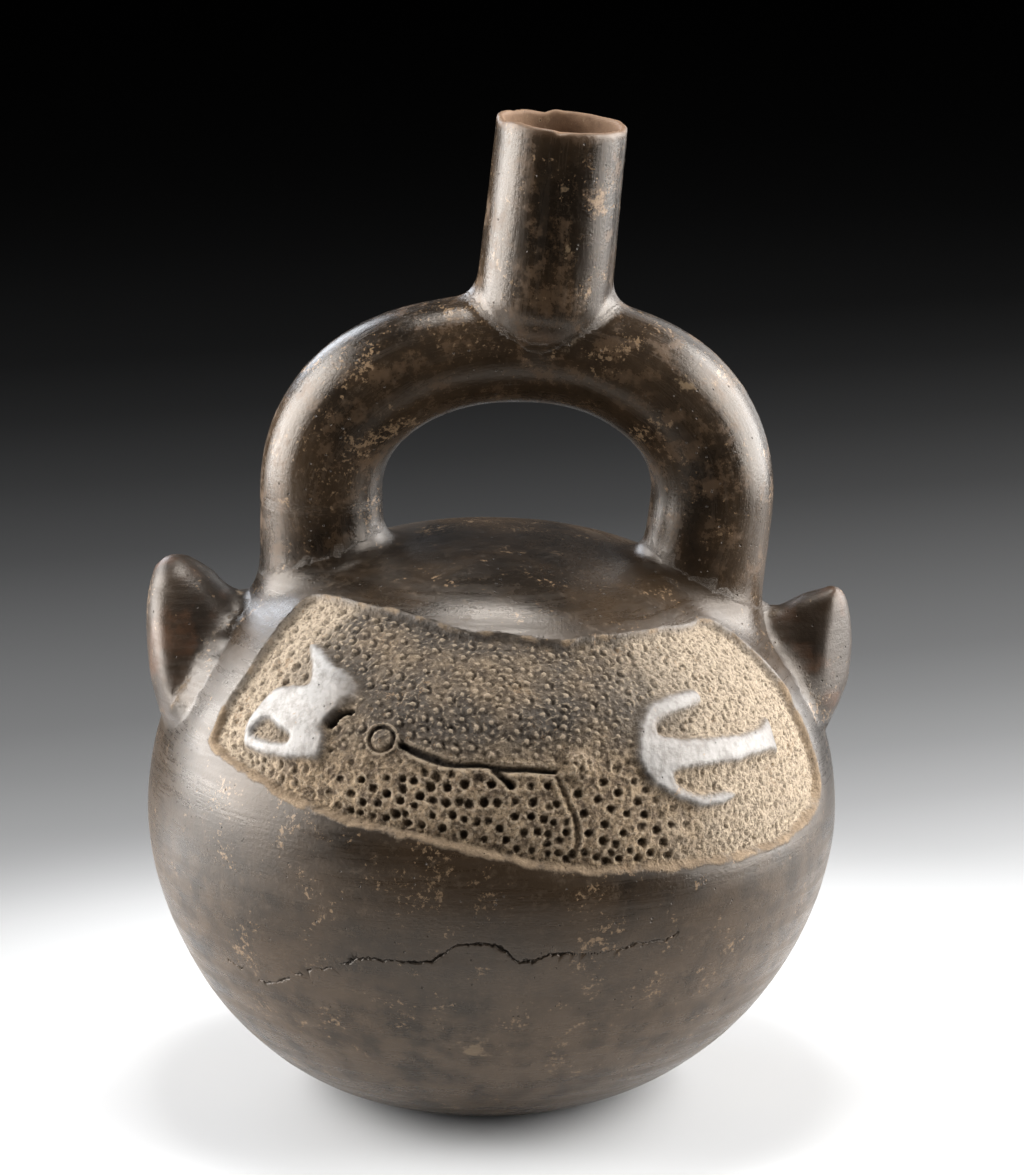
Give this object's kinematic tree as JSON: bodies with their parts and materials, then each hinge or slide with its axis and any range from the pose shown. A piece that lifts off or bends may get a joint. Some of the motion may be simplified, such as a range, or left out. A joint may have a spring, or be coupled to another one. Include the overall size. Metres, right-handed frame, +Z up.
{
  "type": "stirrup spout vessel",
  "caption": "Round hollow clay jar with an arched tubular stirrup handle, a leaning spout on its crown, two solid ears and a sunk punched face panel with raised figures.",
  "frame": {"origin": "centre of the flat foot, on its underside", "axes": "+Z up, the carved face towards -Y, +X to the right as the face is seen"},
  "size_m": [0.1601, 0.154, 0.22],
  "materials": {
    "blackware": "burnished unglazed fired clay, worn, with pale earth left in the carving"
  },
  "bodies": {
    "root": {"vessel": "blackware"}
  },
  "joints": []
}
